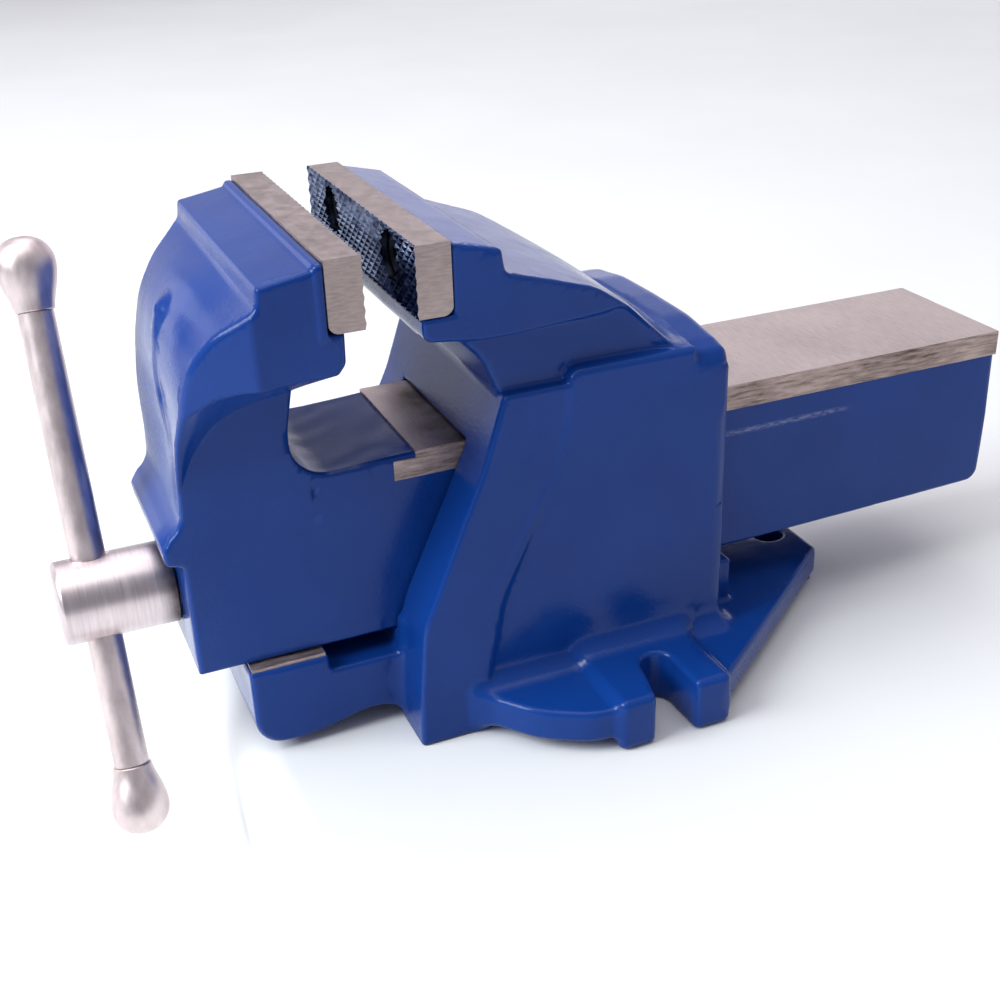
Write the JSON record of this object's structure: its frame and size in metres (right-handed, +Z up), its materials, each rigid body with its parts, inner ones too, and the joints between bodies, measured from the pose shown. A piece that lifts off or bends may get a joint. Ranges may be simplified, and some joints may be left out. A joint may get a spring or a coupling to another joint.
{
  "type": "bench vise",
  "caption": "Engineer's bench vise with a sliding jaw on a hollow beam, serrated jaw plates, a main screw with a sliding handle bar, and a slotted base for bolting to a bench.",
  "frame": {"origin": "on the mounting plane under the base, midway between the two side bolt slots", "axes": "+X across the jaws, +Y from the handle towards the rear end of the beam, +Z up from the mounting plane"},
  "size_m": [0.155, 0.324, 0.1802],
  "materials": {
    "blue_paint": "thick gloss blue enamel on cast iron",
    "jaw_plate_steel": "ground steel, diamond-serrated gripping face",
    "screw_steel": "turned steel, satin, grimy near the jaw",
    "polished_steel": "polished bright steel",
    "black_oxide_steel": "black oxide",
    "plain_steel": "plain zinc-grey steel",
    "cast_iron": "bare grey iron"
  },
  "bodies": {
    "base": {"body_casting": "blue_paint", "fixed_jaw_plate": "jaw_plate_steel", "fixed_plate_screw_left": "black_oxide_steel", "fixed_plate_screw_right": "black_oxide_steel", "screw_nut": "cast_iron", "nut_bolt": "plain_steel", "nut_bolt_washer": "plain_steel", "nut_dowel_front": "plain_steel", "nut_dowel_rear": "plain_steel"},
    "sliding_jaw": {"slide_casting": "blue_paint", "moving_jaw_plate": "jaw_plate_steel", "moving_plate_screw_left": "black_oxide_steel", "moving_plate_screw_right": "black_oxide_steel", "thrust_washer": "plain_steel"},
    "main_screw": {"main_screw": "screw_steel", "retaining_collar": "plain_steel", "collar_pin": "plain_steel"},
    "handle": {"handle_bar": "polished_steel", "handle_knob_upper": "polished_steel", "handle_knob_lower": "polished_steel"}
  },
  "joints": [
    {"name": "jaw_slide", "type": "slide", "parent": "base", "child": "sliding_jaw", "axis": [0, -1, 0], "range_m": [-0.0139, 0.1008]},
    {"name": "screw_turn", "type": "hinge", "parent": "sliding_jaw", "child": "main_screw", "pos_m": [0, -0.1713, 0.0514], "axis": [0, -1, 0], "range_deg": [-1000.9, 7257.7]},
    {"name": "handle_slide", "type": "slide", "parent": "main_screw", "child": "handle", "axis": [-0.3469, 0, 0.9379], "range_m": [-0.073, 0.0398]}
  ],
  "couplings": [
    {"joint": "screw_turn", "follows": "jaw_slide", "rad_per_m": 1256.6}
  ]
}
